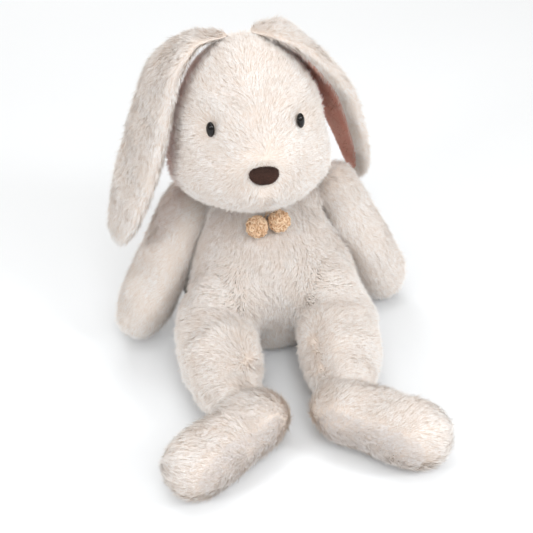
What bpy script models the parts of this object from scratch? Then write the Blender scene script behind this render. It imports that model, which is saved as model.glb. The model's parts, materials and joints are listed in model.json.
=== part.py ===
"""A stuffed rabbit of white plush, seated with its legs forward: run it in Blender to build the model.

The rabbit faces -Y, sits on Z = 0, and +X is the side its nose turns to. Lengths are metres. Each sewn piece
is a hollow skin of fur fabric around its own stuffing, and each moving piece ends in a ball at its joint.
"""

import math

import bmesh
import bpy
import numpy as np
from mathutils import Matrix, Vector

# Fabric and fits
SKIN = 0.006        # fur fabric with its pile
GAP = 0.0004        # between pieces that touch
CLEAR = 0.001       # between pieces that move past each other
SLACK = 0.0009      # between a skin and the stuffing inside it
DEEP = 0.3          # longer than the object, for cutters

# Joints: where each moving piece is sewn on
NECK = Vector((-0.006, 0.020, 0.114))
HEAD_TURN = math.radians(7)
HEAD_ROLL = math.radians(2.5)
SHOULDERS = {"left": Vector((-0.060, 0.022, 0.1015)), "right": Vector((0.055, 0.024, 0.100))}
ARM_AXES = {"left": Vector((-1, 0.25, 0)).normalized(), "right": Vector((1, 0.25, 0)).normalized()}
HIPS = {"left": Vector((-0.0505, -0.034, 0.032)), "right": Vector((0.0455, -0.034, 0.032))}
LEG_SPREAD = {"left": -6, "right": 6}  # degrees about +Z, the middle of what the torso leaves room for
FOOT_FLEX = {"left": (6, -4, -15), "right": (-6, 4, 15)}
ANKLES = {"left": Vector((-0.038, -0.139, 0.027)), "right": Vector((0.042, -0.138, 0.027))}

# Ball ends and the sockets around them
NECK_DOME = 0.030
NECK_BALL = 0.014
SHOULDER_BALL = 0.0215
HIP_BALL = 0.0305
ANKLE_BALL = 0.0205

# Torso: (height, half width) from the middle of the seat to the top of the neck dome
TORSO_PROFILE = [(0, 0), (0, 0.050), (0.004, 0.060), (0.014, 0.067), (0.030, 0.071), (0.050, 0.068),
                 (0.070, 0.060), (0.087, 0.050), (0.099, 0.0385), (0.109, 0.0298), (0.120, 0.0292),
                 (0.134, 0.0224), (0.142, 0.011), (0.144, 0)]
TORSO_DEPTH = [(0.030, 0.80), (0.064, 0.92), (0.095, 1)]  # (height, depth over width)
SEAT = Vector((0, 0.000, 0))

# Head
HEAD = Vector((-0.009, 0.009, 0.1715))
HEAD_HALF = Vector((0.0555, 0.052, 0.0635))
CHEEKS = 0.29       # how much wider the head is low down
MUZZLE = 0.020
EYE_SPREAD = 0.0332
EYE_HEIGHT = 0.0145
EYE_RADIUS = 0.006
NOSE_HALF = Vector((0.0122, 0.0055, 0.0072))
NOSE_HEIGHT = -0.0088

# Limbs: (distance from the joint, radius)
ARM_PROFILE = [(-0.0215, 0), (-0.018, 0.0115), (-0.009, 0.0195), (0.004, 0.0215), (0.025, 0.0230),
               (0.055, 0.0240), (0.085, 0.0240), (0.104, 0.0200), (0.114, 0.0115), (0.1175, 0)]
ARM_FLAT = 0.90     # its thickness over its width
PAWS = {"left": Vector((-0.1066, -0.015, 0.024)), "right": Vector((0.0924, 0.0136, 0.0104))}
ARM_REACH = {"left": 1.0, "right": 0.88}  # the right one is pressed together where it props on the floor
LEG_PROFILE = [(-0.0305, 0), (-0.026, 0.016), (-0.014, 0.027), (0.002, 0.0305), (0.025, 0.0315),
               (0.060, 0.0308), (0.088, 0.0250), (0.104, 0.0205), (0.115, 0.0172), (0.1225, 0.0085), (0.1245, 0)]
LEG_FLAT = 0.92     # its height over its width
FOOT_PROFILE = [(-0.024, 0), (-0.021, 0.012), (-0.011, 0.020), (0.006, 0.0240), (0.035, 0.0248),
                (0.060, 0.0240), (0.074, 0.0185), (0.0805, 0.010), (0.0825, 0)]
HEELS = {"left": Vector((-0.019, -0.159, 0.0250)), "right": Vector((0.038, -0.156, 0.0250))}
TOES = {"left": Vector((-0.056, -0.195, 0.0250)), "right": Vector((0.090, -0.193, 0.0250))}
SOLE_DEPTH = 0.016  # from the foot's middle line to the sole's seam

# Ears: (place, way the fur back faces, half width, thickness of the back) from the crown to the tip
EARS = {
    "left": [((-0.018, 0.016, 0.2365), (0, 0, 1), 0.012, 0.005),
             ((-0.042, 0.013, 0.2335), (-0.35, 0.0, 1), 0.020, 0.009),
             ((-0.065, 0.006, 0.2150), (-1, -0.35, 0.6), 0.024, 0.013),
             ((-0.0775, 0.000, 0.1850), (-1, -0.55, 0.25), 0.026, 0.013),
             ((-0.0885, -0.008, 0.1520), (-1, -0.65, 0.2), 0.026, 0.013),
             ((-0.102, -0.014, 0.1210), (-1, -0.65, 0.2), 0.023, 0.013),
             ((-0.114, -0.019, 0.0960), (-1, -0.65, 0.2), 0.019, 0.012)],
    "right": [((-0.002, 0.020, 0.2370), (0, 0, 1), 0.012, 0.005),
              ((0.019, 0.021, 0.2320), (0.35, 0.0, 1), 0.019, 0.009),
              ((0.037, 0.026, 0.2130), (1, 0.4, 0.6), 0.022, 0.013),
              ((0.0465, 0.031, 0.1840), (1, 0.75, 0.25), 0.026, 0.013),
              ((0.0555, 0.042, 0.1500), (1, 0.75, 0.2), 0.025, 0.013),
              ((0.065, 0.057, 0.1170), (1, 0.6, 0.2), 0.022, 0.013),
              ((0.070, 0.069, 0.0890), (1, 0.5, 0.2), 0.018, 0.012)],
}
LINING = 0.0022     # thickness of the short-pile lining
LINING_WIDTH = 0.74

# Trim
POMPOM_RADIUS = 0.0088
POMPOMS = {"left": Vector((-0.0092, -0.0335, 0.1029)), "right": Vector((0.0078, -0.0290, 0.1042))}
POMPOM_KNOT = Vector((0, -0.0168, 0.1070))
THREAD = 0.0007
TAIL = Vector((0.001, 0.0745, 0.034))
TAIL_RADIUS = 0.017
STEM = 0.0018       # radius of the stem behind an eye or the nose
WASHER = 0.006

# Moving pieces: (the piece that carries it, the place of its joint)
PIVOTS = {"neck": (None, NECK), "head": ("neck", NECK)}
CARRIED = {"head": ("head_", "eye_", "nose"), "pompom_left": ("pompom_left",), "pompom_right": ("pompom_right",)}
for SIDE in ("left", "right"):
    PIVOTS[f"ear_{SIDE}"] = ("head", Vector(EARS[SIDE][0][0]))
    PIVOTS[f"arm_{SIDE}"] = (None, SHOULDERS[SIDE])
    PIVOTS[f"leg_{SIDE}"] = (None, HIPS[SIDE])
    PIVOTS[f"foot_{SIDE}"] = (f"leg_{SIDE}", ANKLES[SIDE])
    PIVOTS[f"pompom_{SIDE}"] = (None, POMPOM_KNOT)


def clear_scene():
    for obj in list(bpy.data.objects):
        bpy.data.objects.remove(obj)


def new_collection(name):
    collection = bpy.data.collections.new(name)
    bpy.context.scene.collection.children.link(collection)
    return collection


def material(name, colour, roughness):
    made = bpy.data.materials.new(name)
    made.use_nodes = True
    shader = made.node_tree.nodes["Principled BSDF"]
    shader.inputs["Base Color"].default_value = (*colour, 1)
    shader.inputs["Roughness"].default_value = roughness
    shader.inputs["Metallic"].default_value = 0
    made.diffuse_color = (*colour, 1)
    return made


def add(name, mesh_maker, finish=None, matrix=None):
    """A part in the finish named, or a cutter if none is named."""
    mesh = bpy.data.meshes.new(name)
    mesh_maker.normal_update()
    mesh_maker.to_mesh(mesh)
    mesh_maker.free()
    mesh.shade_smooth()
    obj = bpy.data.objects.new(name, mesh)
    if matrix is not None:
        obj.matrix_world = matrix
    if finish:
        parts.objects.link(obj)
        mesh.materials.append(FINISHES[finish])
    else:
        cutters.objects.link(obj)
        obj.hide_render = True
        obj.display_type = "WIRE"
    return obj


def boolean(obj, tool, operation="DIFFERENCE"):
    modifier = obj.modifiers.new(f"{operation.lower()} {tool.name}", "BOOLEAN")
    modifier.operation = operation
    modifier.object = tool


def soft_form(name, shape, finish=None, inset=0.0, segments=16, rings=12):
    """A UV sphere with each point moved to shape(point), then inwards along its normal by inset."""
    bm = bmesh.new()
    bmesh.ops.create_uvsphere(bm, u_segments=segments, v_segments=rings, radius=1)
    for vertex in bm.verts:
        vertex.co = shape(vertex.co.normalized())
    bm.normal_update()
    moved = [vertex.co - vertex.normal * inset for vertex in bm.verts]
    for vertex, place in zip(bm.verts, moved, strict=True):
        vertex.co = place
    return add(name, bm, finish)


def ball(name, centre, radius, finish=None, segments=16, rings=10):
    bm = bmesh.new()
    bmesh.ops.create_uvsphere(bm, u_segments=segments, v_segments=rings, radius=radius)
    return add(name, bm, finish, Matrix.Translation(centre))


def rod(name, start, end, radius, finish=None, sides=12, end_radius=None):
    """A cylinder from start to end, or a cone if its end has another radius."""
    bm = bmesh.new()
    length = (end - start).length
    other = radius if end_radius is None else end_radius
    bmesh.ops.create_cone(bm, cap_ends=True, segments=sides, radius1=radius, radius2=other, depth=length)
    turn = (end - start).to_track_quat("Z", "Y").to_matrix().to_4x4()
    return add(name, bm, finish, Matrix.Translation((start + end) / 2) @ turn)


def half_space(name, point, normal):
    """A block that fills everything on the side of the point that the normal shows."""
    bm = bmesh.new()
    bmesh.ops.create_cube(bm, size=DEEP)
    turn = normal.to_track_quat("Z", "Y").to_matrix().to_4x4()
    return add(name, bm, None, Matrix.Translation(point + normal.normalized() * DEEP / 2) @ turn)


def on_profile(profile, share):
    """(distance, radius) at this share of the profile's length."""
    rows = np.array(profile)
    steps = np.linalg.norm(np.diff(rows, axis=0), axis=1)
    way = np.concatenate([[0], np.cumsum(steps)]) / steps.sum()
    return np.interp(share, way, rows[:, 0]), np.interp(share, way, rows[:, 1])


def share_of(point):
    """0 at the sphere's lower pole and 1 at its upper one."""
    return math.acos(max(-1, min(1, -point.z))) / math.pi


def round_of(point):
    flat = Vector((point.x, point.y))
    return flat.normalized() if flat.length > 1e-6 else Vector((0, 0))


def torso_shape(point):
    height, radius = on_profile(TORSO_PROFILE, share_of(point))
    lean = (NECK - SEAT) * min(1, height / NECK.z)
    side = round_of(point)
    depth = np.interp(height, *zip(*TORSO_DEPTH, strict=True))
    return SEAT + Vector((lean.x + side.x * radius, lean.y + side.y * radius * depth, height))


def head_shape(point):
    """The head about its own middle, with its face to -Y before it is turned."""
    full = head_fullness(point.z)
    place = Vector((point.x * HEAD_HALF.x * full, point.y * HEAD_HALF.y * full, point.z * HEAD_HALF.z))
    if point.y < 0:
        place.y -= MUZZLE * math.exp(-((point.x / 0.50) ** 2) - ((point.z + 0.32) / 0.45) ** 2)
    return place


def head_fullness(z):
    """How wide the head is at this height, next to a ball: full in the cheeks and narrow at the crown."""
    return 1 - 0.06 * z + CHEEKS * math.exp(-(((z + 0.70) / 0.42) ** 2))


def head_matrix():
    return Matrix.Translation(HEAD) @ Matrix.Rotation(HEAD_TURN, 4, "Z") @ Matrix.Rotation(HEAD_ROLL, 4, "Y")


def limb_shape(start, end, profile, flat=1.0):
    """A turned form along start to end, as a function for soft_form."""
    turn = (end - start).to_track_quat("Z", "Y").to_matrix()

    def shape(point):
        along, radius = on_profile(profile, share_of(point))
        side = round_of(point)
        return start + turn @ Vector((side.x * radius, side.y * radius * flat, along))

    return shape


def smooth_path(rows, share):
    """The Catmull-Rom curve through the rows, at this share of its spans."""
    last = len(rows) - 2
    span = min(int(share * (len(rows) - 1)), last)
    t = share * (len(rows) - 1) - span
    a, b, c, d = (rows[max(0, min(len(rows) - 1, span + k))] for k in (-1, 0, 1, 2))
    return 0.5 * (2 * b + (c - a) * t + (2 * a - 5 * b + 4 * c - d) * t**2 + (3 * b - a - 3 * c + d) * t**3)


def ear_shape(side, low, high, width, inner, outer=None):
    """A layer of an ear from low to high along it, between two depths. The fur back has the ear's own depth."""
    rows = [np.array([*place, *facing, half, thick]) for place, facing, half, thick in EARS[side]]

    def shape(point):
        share = low + (high - low) * share_of(point)
        here = smooth_path(rows, share)
        ahead = smooth_path(rows, min(1, share + 0.01)) - smooth_path(rows, max(0, share - 0.01))
        along = Vector(ahead[:3]).normalized()
        facing = Vector(here[3:6])
        facing = (facing - along * facing.dot(along)).normalized()
        across = facing.cross(along)
        end = math.sqrt(max(0, 1 - abs(2 * share_of(point) - 1) ** 5))
        turn = round_of(point)
        if outer is None:
            depth = (here[7] if turn.y > 0 else inner) * abs(turn.y) * end
        else:
            depth = (outer + inner) / 2 + (outer - inner) / 2 * turn.y * end
        return Vector(here[:3]) + across * turn.x * here[6] * width * end + facing * depth

    return shape


def shell(obj, cavity, *openings):
    boolean(obj, cavity)
    for opening in openings:
        boolean(obj, opening)


def make_torso():
    cavity = soft_form("torso_cavity", torso_shape, inset=SKIN, segments=20, rings=14)
    neck_hole = ball("torso_neck_hole", NECK, NECK_BALL + CLEAR)
    neck_way = rod("torso_neck_way", NECK, NECK + Vector((0, 0, 0.05)), NECK_BALL - 0.002, sides=16)
    skin = soft_form("torso_skin", torso_shape, "fur", segments=20, rings=14)
    stuffing = soft_form("torso_stuffing", torso_shape, "stuffing", SKIN + SLACK, 20, 14)
    shell(skin, cavity, neck_way)
    for side in ("left", "right"):
        cuts = [arm_room(side), sockets[f"hip_{side}"], leg_room(side)]
        for cut in cuts:
            boolean(skin, cut)
            boolean(stuffing, cut)
    boolean(stuffing, neck_hole)
    boolean(stuffing, neck_way)
    tail = ball("tail_pompom", TAIL, TAIL_RADIUS, "fur", 14, 9)
    boolean(tail, soft_form("tail_room", torso_shape, inset=-GAP, segments=20, rings=14))


def arm_profile(side):
    return [(along * (ARM_REACH[side] if along > 0.01 else 1), radius) for along, radius in ARM_PROFILE]


def arm_room(side):
    """All that the arm passes through as it swings: its profile turned about the axis of the shoulder."""
    start, axis = SHOULDERS[side], ARM_AXES[side]
    way = (PAWS[side] - start).normalized()
    out = way.dot(axis)
    away = math.sqrt(1 - out * out)
    rows = [(-SHOULDER_BALL - CLEAR, 0.0)]
    for along, radius in arm_profile(side):
        if along > 0:
            reach = radius + CLEAR
            rows.append((along * out - reach * away, along * away + reach * out))
    rows += [(0.06, rows[-1][1] + CLEAR), (0.06, 0.0)]
    turn = Matrix.Translation(start) @ axis.to_track_quat("Z", "Y").to_matrix().to_4x4()
    return turned(f"arm_{side}_room", rows, turn)


def turned(name, rows, matrix, sides=24):
    """A cutter made by turning (height, radius) rows about Z. The first and last lie on the axis."""
    bm = bmesh.new()
    rings = []
    for height, radius in rows:
        angles = np.arange(sides) * 2 * math.pi / sides if radius > 0 else [0]
        rings.append([bm.verts.new((radius * math.cos(a), radius * math.sin(a), height)) for a in angles])
    for low, high in zip(rings, rings[1:], strict=False):
        for k in range(sides):
            corners = [low[k % len(low)], low[(k + 1) % len(low)], high[(k + 1) % len(high)], high[k % len(high)]]
            bm.faces.new(dict.fromkeys(corners))
    return add(name, bm, None, matrix)


def leg_room(side):
    """A widening way out of the hip, for all the angles that the leg is spread to."""
    way = (ANKLES[side] - HIPS[side]).normalized()
    room = rod(f"leg_{side}_room", HIPS[side], HIPS[side] + way * 0.06, HIP_BALL + CLEAR * 2, sides=20,
               end_radius=HIP_BALL + 0.010)
    room.matrix_world = turned_about(HIPS[side], LEG_SPREAD[side]) @ room.matrix_world
    return room


def turned_about(place, angle):
    return Matrix.Translation(place) @ Matrix.Rotation(math.radians(angle), 4, "Z") @ Matrix.Translation(-place)


def make_neck():
    ball("neck_stuffing", NECK, NECK_BALL, "stuffing", 14, 9)


def make_head():
    matrix = head_matrix()
    skin = soft_form("head_skin", head_shape, "fur", segments=20, rings=16)
    cavity = soft_form("head_cavity", head_shape, inset=SKIN, segments=20, rings=16)
    stuffing = soft_form("head_stuffing", head_shape, "stuffing", SKIN + SLACK, 20, 16)
    for obj in (skin, cavity, stuffing):
        obj.matrix_world = matrix
    bowl = ball("head_bowl", NECK, NECK_DOME + CLEAR * 2, segments=20, rings=12)
    lining_bowl = ball("head_lining_bowl", NECK, NECK_DOME + CLEAR + SKIN, segments=20, rings=12)
    boolean(cavity, lining_bowl)
    way = rod("head_neck_way", NECK, NECK + Vector((0, 0, 0.045)), NECK_BALL - 0.002, sides=16)
    shell(skin, cavity, bowl, way)
    stuffing_bowl = ball("stuffing_bowl", NECK, NECK_DOME + CLEAR + SKIN + SLACK, segments=20, rings=12)
    boolean(stuffing, stuffing_bowl)
    for side, sign in (("left", -1), ("right", 1)):
        way_out = Vector((sign * 0.75, -0.66, 0.08)).normalized()
        make_stud(f"eye_{side}", "eye", skin, stuffing, matrix, face_point(sign * EYE_SPREAD, EYE_HEIGHT), way_out)
    make_stud("nose", "nose", skin, stuffing, matrix, face_point(0, NOSE_HEIGHT), Vector((0, -1, 0.12)).normalized())


def face_point(across, height):
    """Where the face is, this far across and up from the head's middle."""
    z = height / HEAD_HALF.z
    x = across / (HEAD_HALF.x * head_fullness(z))
    y = -math.sqrt(max(0, 1 - x * x - z * z))
    return head_shape(Vector((x, y, z)))


def make_stud(name, finish, skin, stuffing, matrix, place, out):
    """An eye or a nose: a cap on a stem through the skin, held by a washer inside."""
    turn = matrix @ Matrix.Translation(place) @ out.to_track_quat("Z", "Y").to_matrix().to_4x4()
    origin = turn.translation
    axis = (turn.to_3x3() @ Vector((0, 0, 1))).normalized()
    if finish == "eye":
        cap = ball(name, origin + axis * 0.001, EYE_RADIUS, finish, 16, 10)
        cap.matrix_world = turn @ Matrix.Translation((0, 0, 0.001)) @ Matrix.Diagonal((1, 1, 0.72, 1))
        room = EYE_RADIUS + GAP
    else:
        cap = soft_form(name, nose_shape, finish, segments=16, rings=10)
        cap.matrix_world = matrix @ Matrix.Translation(place)
        room = NOSE_HALF.x + GAP
    stem = rod(f"{name}_stem", origin, origin - axis * 0.014, STEM)
    boolean(cap, stem, "UNION")
    seat = ball(f"{name}_seat", origin, 1)
    if finish == "eye":
        seat.matrix_world = turn @ Matrix.Translation((0, 0, 0.001)) @ Matrix.Diagonal(
            (room, room, EYE_RADIUS * 0.72 + GAP, 1))
    else:
        seat.matrix_world = matrix @ Matrix.Translation(place) @ Matrix.Diagonal(
            (NOSE_HALF.x * 1.12 + GAP, NOSE_HALF.y + GAP, NOSE_HALF.z * 1.05 + GAP, 1))
    boolean(skin, seat)
    boolean(skin, rod(f"{name}_stem_hole", origin + axis * 0.002, origin - axis * 0.02, STEM + GAP))
    washer_back = origin - axis * (SKIN + 0.0067)
    washer_front = origin - axis * (SKIN + 0.0052)
    washer = rod(f"{name}_washer", washer_front, washer_back, WASHER, "washer", 16)
    boolean(washer, rod(f"{name}_washer_hole", origin, origin - axis * 0.03, STEM + GAP))
    pocket = rod(f"{name}_pocket", origin + axis * 0.004, origin - axis * 0.017, WASHER + CLEAR)
    boolean(stuffing, pocket)


def nose_shape(point):
    """Wide and flat along the top, rounding to a point below."""
    wide = NOSE_HALF.x * (0.86 + 0.26 * point.z)
    return Vector((point.x * wide, point.y * NOSE_HALF.y, point.z * NOSE_HALF.z))


def make_limb(name, start, end, profile, flat, opening):
    """A limb's skin and its stuffing. Its skin is open where it is sewn on, this far from its start."""
    shape = limb_shape(start, end, profile, flat)
    skin = soft_form(f"{name}_skin", shape, "fur", segments=14, rings=11)
    cavity = soft_form(f"{name}_cavity", shape, inset=SKIN, segments=14, rings=11)
    stuffing = soft_form(f"{name}_stuffing", shape, "stuffing", SKIN + SLACK, 14, 11)
    shell(skin, cavity, half_space(f"{name}_opening", start + opening, opening))


def make_arm(side):
    start, end = SHOULDERS[side], PAWS[side]
    make_limb(f"arm_{side}", start, end, arm_profile(side), ARM_FLAT, -ARM_AXES[side] * 0.0095)


def make_leg(side):
    start, end = HIPS[side], ANKLES[side]
    make_limb(f"leg_{side}", start, end, LEG_PROFILE, LEG_FLAT, (start - end).normalized() * 0.022)


def make_foot(side):
    heel, toe = HEELS[side], TOES[side]
    shape = limb_shape(heel, toe, FOOT_PROFILE, 1.0)
    along = (toe - heel).normalized()
    front = Vector((0, -1, 0))
    sole_way = (front - along * front.dot(along)).normalized()
    seam = (heel + toe) / 2 + sole_way * SOLE_DEPTH
    skin = soft_form(f"foot_{side}_skin", shape, "fur", segments=14, rings=12)
    cavity = soft_form(f"foot_{side}_cavity", shape, inset=SKIN, segments=14, rings=12)
    stuffing = soft_form(f"foot_{side}_stuffing", shape, "stuffing", SKIN + SLACK, 14, 12)
    sole = soft_form(f"foot_{side}_sole", shape, "sole", 0.0, 14, 12)
    shell(skin, cavity, half_space(f"foot_{side}_seam", seam, sole_way), sockets[f"ankle_{side}"])
    boolean(stuffing, half_space(f"foot_{side}_flat", seam, sole_way))
    boolean(stuffing, sockets[f"ankle_{side}"])
    leg_way = (HIPS[side] - ANKLES[side]).normalized()
    for angle in FOOT_FLEX[side]:
        room = rod(f"ankle_{side}_room", ANKLES[side], ANKLES[side] + leg_way * 0.04, ANKLE_BALL + CLEAR, sides=16,
                   end_radius=ANKLE_BALL * 1.35)
        room.matrix_world = turned_about(ANKLES[side], angle) @ room.matrix_world
        boolean(skin, room)
        boolean(stuffing, room)
    boolean(sole, half_space(f"foot_{side}_upper", seam + sole_way * GAP, -sole_way))


def make_ear(side):
    """The lining lies against the inner face of the ear's back."""
    back = -0.001
    soft_form(f"ear_{side}_back", ear_shape(side, 0, 1, 1, back), "fur", 0.0, 12, 18)
    lining = ear_shape(side, 0.14, 0.93, LINING_WIDTH, back - GAP - LINING, back - GAP)
    soft_form(f"ear_{side}_lining", lining, "lining", 0.0, 12, 14)


def make_pompoms():
    for side, place in POMPOMS.items():
        ball(f"pompom_{side}", place, POMPOM_RADIUS, "pompom", 14, 9)
        way = (place - POMPOM_KNOT).normalized()
        rod(f"pompom_{side}_thread", POMPOM_KNOT + way * 0.003, place - way * (POMPOM_RADIUS + GAP), THREAD,
            "thread", 8)
    ball("pompom_knot", POMPOM_KNOT, 0.0018, "thread", 10, 6)


def hang_parts():
    """Parents each moving piece's parts to an empty at its joint, and each such empty to the one that carries it."""
    bpy.context.view_layer.update()
    pivots = {}
    for name, (carrier, place) in PIVOTS.items():
        pivot = bpy.data.objects.new(f"{name}_pivot", None)
        pivot.empty_display_size = 0.01
        parts.objects.link(pivot)
        carried_at = PIVOTS[carrier][1] if carrier else Vector((0, 0, 0))
        pivot.parent = pivots.get(carrier)
        pivot.location = place - carried_at
        pivots[name] = pivot
        for obj in parts.objects:
            if obj.type == "MESH" and obj.name.startswith(CARRIED.get(name, (f"{name}_",))):
                obj.parent = pivot
                obj.matrix_parent_inverse = Matrix.Translation(-place)


clear_scene()
parts = new_collection("plush_rabbit")
cutters = new_collection("cutters")
FINISHES = {
    "fur": material("fur", (0.90, 0.87, 0.84), 0.95),
    "stuffing": material("stuffing", (0.92, 0.92, 0.90), 0.95),
    "sole": material("sole", (0.84, 0.80, 0.76), 0.95),
    "lining": material("lining", (0.80, 0.42, 0.34), 0.90),
    "pompom": material("pompom", (0.72, 0.50, 0.32), 0.95),
    "thread": material("thread", (0.80, 0.62, 0.44), 0.80),
    "eye": material("eye", (0.01, 0.008, 0.007), 0.08),
    "nose": material("nose", (0.06, 0.025, 0.015), 0.75),
    "washer": material("washer", (0.85, 0.85, 0.83), 0.45),
}
sockets = {}
for side in ("left", "right"):
    sockets[f"hip_{side}"] = ball(f"hip_{side}_socket", HIPS[side], HIP_BALL + CLEAR * 2.5)
    sockets[f"ankle_{side}"] = ball(f"ankle_{side}_socket", ANKLES[side], ANKLE_BALL + CLEAR)
make_torso()
make_neck()
make_head()
for side in ("left", "right"):
    make_arm(side)
    make_leg(side)
    make_foot(side)
    make_ear(side)
make_pompoms()
hang_parts()
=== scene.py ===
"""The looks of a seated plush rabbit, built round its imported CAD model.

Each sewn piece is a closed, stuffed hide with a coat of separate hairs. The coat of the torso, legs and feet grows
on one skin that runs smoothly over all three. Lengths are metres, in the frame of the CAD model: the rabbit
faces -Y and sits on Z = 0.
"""

import json
import math

import bmesh
import bpy
import numpy as np
from mathutils import Matrix, Vector
from mathutils.bvhtree import BVHTree
from mathutils.kdtree import KDTree


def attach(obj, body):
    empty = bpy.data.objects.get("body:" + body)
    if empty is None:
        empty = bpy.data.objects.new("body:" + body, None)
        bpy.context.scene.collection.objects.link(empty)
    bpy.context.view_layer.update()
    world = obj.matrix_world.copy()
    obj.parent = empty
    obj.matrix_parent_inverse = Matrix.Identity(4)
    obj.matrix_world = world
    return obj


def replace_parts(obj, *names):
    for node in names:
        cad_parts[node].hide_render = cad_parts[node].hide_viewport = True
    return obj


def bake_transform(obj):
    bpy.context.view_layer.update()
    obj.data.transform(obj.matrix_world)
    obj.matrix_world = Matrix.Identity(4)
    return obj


SIDES = ("left", "right")
SIGN = {"left": -1, "right": 1}                 # of x

# Shapes much as in the CAD model. A profile's rows are (height or distance along, radius)
TORSO_PROFILE = [(0, 0), (0, 0.050), (0.004, 0.060), (0.014, 0.067), (0.030, 0.071), (0.050, 0.068),
                 (0.070, 0.060), (0.087, 0.050), (0.099, 0.0385), (0.109, 0.0298), (0.120, 0.0292),
                 (0.134, 0.0224), (0.142, 0.011), (0.144, 0)]
TORSO_DEPTH = [(0.030, 0.80), (0.064, 0.92), (0.095, 1)]
ARM_PROFILE = [(-0.0215, 0), (-0.018, 0.0115), (-0.009, 0.0195), (0.004, 0.0215), (0.025, 0.0230),
               (0.055, 0.0240), (0.085, 0.0240), (0.104, 0.0200), (0.114, 0.0115), (0.1175, 0)]
LEG_PROFILE = [(-0.025, 0), (-0.021, 0.013), (-0.010, 0.0225), (0.006, 0.0270), (0.028, 0.0305),
               (0.060, 0.0308), (0.088, 0.0250), (0.104, 0.0205), (0.115, 0.0172), (0.1225, 0.0085), (0.1245, 0)]
FOOT_PROFILE = [(-0.024, 0), (-0.021, 0.012), (-0.011, 0.020), (0.006, 0.0240), (0.035, 0.0248),
                (0.060, 0.0240), (0.074, 0.0185), (0.0805, 0.010), (0.0825, 0)]
ARM_FLAT = 0.90
LEG_FLAT = 0.92
PAWS = {"left": Vector((-0.1066, -0.015, 0.024)), "right": Vector((0.0924, 0.0136, 0.0104))}
ARM_REACH = {"left": 1.0, "right": 0.88}
HEELS = {"left": Vector((-0.019, -0.159, 0.0250)), "right": Vector((0.038, -0.156, 0.0250))}
TOES = {"left": Vector((-0.056, -0.195, 0.0250)), "right": Vector((0.090, -0.193, 0.0250))}
SOLE_DEPTH = 0.016
HEAD = Vector((-0.009, 0.009, 0.1715))
HEAD_HALF = Vector((0.0567, 0.052, 0.0640))
HEAD_TURN = math.radians(7)
HEAD_ROLL = math.radians(2.5)
CHEEKS = 0.29
MUZZLE = 0.020
EYE_SPREAD = 0.0332
EYE_HEIGHT = 0.0145
EYE_HALF = Vector((0.0040, 0.0056, 0.0028))     # along the face, up and out
EYE_OUT = Vector((0.93, -0.36, 0.06))
EYE_SINK = 0.0010
EYE_SHIFT = Vector((0, 0.0008, 0))
NOSE_HEIGHT = -0.0088
NOSE_WIDE, NOSE_DEEP, NOSE_ABOVE, NOSE_BELOW = 0.0104, 0.0062, 0.0044, 0.0072
YOKE_START = Vector((0, 0.019, 0.099))          # a yoke joins each shoulder to the chest
LAP = Vector((0.038, -0.038, 0.044))            # a lap fills the fold between the belly and each thigh
LAP_HALF = (0.032, 0.030, 0.030)
TAIL = Vector((0.001, 0.0745, 0.034))
TAIL_RADIUS = 0.017
POMPOMS = {"left": Vector((-0.0090, -0.0318, 0.1040)), "right": Vector((0.0078, -0.0278, 0.1050))}
POMPOM_RADIUS = 0.0088
RING_STEPS, WIRE_STEPS = 9, 5                   # points round a loop of yarn and round its strand
GOLDEN_ANGLE = 2.39996
EAR_TRIM = 0.0025
LINING_START, LINING_END = 0.10, 0.95           # shares of the ear's length
LINING_WIDTH, LINING_SHIFT = 0.72, 0.12         # shares of its half width
EARS = {                                        # middle, way it faces, half width, thickness
    "left": [((-0.018, 0.016, 0.2365), (0, 0, 1), 0.012, 0.005),
             ((-0.042, 0.013, 0.2335), (-0.35, 0.0, 1), 0.020, 0.009),
             ((-0.060, 0.006, 0.2150), (-1, -0.35, 0.6), 0.026, 0.016),
             ((-0.0725, 0.000, 0.1850), (-1, -0.55, 0.25), 0.0265, 0.017),
             ((-0.0855, -0.008, 0.1520), (-1, -0.65, 0.2), 0.0255, 0.017),
             ((-0.099, -0.014, 0.1210), (-1, -0.65, 0.2), 0.023, 0.016),
             ((-0.112, -0.019, 0.0960), (-1, -0.65, 0.2), 0.019, 0.014)],
    "right": [((-0.002, 0.020, 0.2370), (0, 0, 1), 0.012, 0.005),
              ((0.019, 0.019, 0.2320), (0.35, 0.0, 1), 0.023, 0.010),
              ((0.036, 0.020, 0.2130), (1, 0.35, 0.6), 0.028, 0.014),
              ((0.0505, 0.031, 0.1840), (1, 0.55, 0.25), 0.027, 0.0155),
              ((0.0595, 0.042, 0.1500), (1, 0.55, 0.2), 0.026, 0.0155),
              ((0.068, 0.057, 0.1170), (1, 0.5, 0.2), 0.022, 0.0145),
              ((0.0725, 0.069, 0.0890), (1, 0.5, 0.2), 0.018, 0.013)],
}

# Coat
PILE = 0.0024          # how far the coat stands off the hide
HAIR = 0.0068          # a hair's length
HAIR_WIDTH = 0.00034
ROOT_DEPTH = 0.0004    # of a hair in its hide
FLOOR_GAP = 0.0003
HAIRS_PER_MM2 = 2.4
LUMPS = 0.0008         # how far the stuffing swells and dips
MOST_HAIRS = 60000     # in one piece
CLUMP = 0.0024         # distance between the middles of two tufts
FINE_CLUMP = 0.0019
STANDING = 0.15        # share of the hairs that stand up
SEED = 11
HIDE_DEPTH = {"torso": 0.0008, "arm": 0.0002, "leg": 0.0008, "foot": 0.0014}    # below the coat's roots
CREASES = {"leg": 0.085, "foot": 0.058}     # how far round each joint the skin's creases are relaxed
CREASE_EDGE = 0.022
CREASE_ROUNDS = 90
HIP_BEND = (0.004, 0.032, 0.072)            # where a joint's stretch of coat starts before the joint, where it ends after it, and how near the joint the parent's coat takes part
ANKLE_BEND = (0.010, 0.014, 0.034)          # and how near the joint the parent's coat takes part
SEAM_DEPTH, SEAM_WIDTH = 0.0004, 0.0018     # round the edge of a sole
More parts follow.
